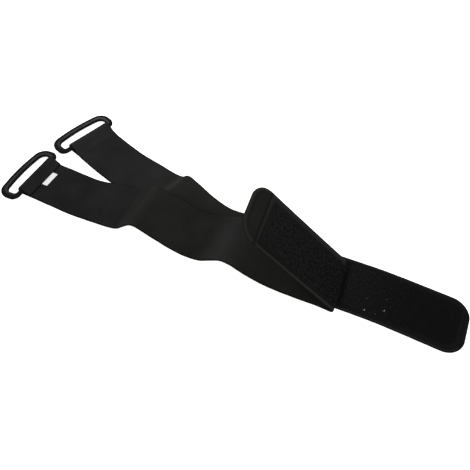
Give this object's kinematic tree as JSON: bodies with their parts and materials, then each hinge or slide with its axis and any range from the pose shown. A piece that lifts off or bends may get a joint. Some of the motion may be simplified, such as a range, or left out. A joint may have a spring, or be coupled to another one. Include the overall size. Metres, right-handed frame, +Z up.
{
  "type": "foot drop brace",
  "caption": "Soft foot drop brace of wide black elastic straps lying on each other, with sewn-in plastic D-rings at one end and hook pads at the other, one end folded back.",
  "frame": {"origin": "middle of the brace's outline on the surface it lies on", "axes": "+X along the straps from the rings to the hook ends, +Y from the near edge to the far edge, +Z up"},
  "size_m": [0.4825, 0.1489, 0.0923],
  "materials": {
    "elastic_webbing": "matte brushed loop knit",
    "hook_nylon": "dull moulded hooks",
    "ring_plastic": "satin moulded",
    "label_satin": "smooth woven satin"
  },
  "bodies": {
    "straps": {"top_band": "elastic_webbing", "under_ring_end": "elastic_webbing", "under_band": "elastic_webbing", "top_hook_pad": "hook_nylon", "under_hook_pad": "hook_nylon", "label": "label_satin"},
    "top_ring": {"top_ring": "ring_plastic"},
    "under_ring": {"under_ring": "ring_plastic"}
  },
  "joints": [
    {"name": "top_ring_swing", "type": "hinge", "parent": "straps", "child": "top_ring", "pos_m": [-0.2154, -0.0357, 0.0048], "axis": [0.0349, 0.9994, 0], "range_deg": [0, 140]},
    {"name": "under_ring_swing", "type": "hinge", "parent": "straps", "child": "under_ring", "pos_m": [-0.1974, 0.0377, 0.0048], "axis": [0.3387, 0.9409, 0], "range_deg": [0, 140]}
  ]
}
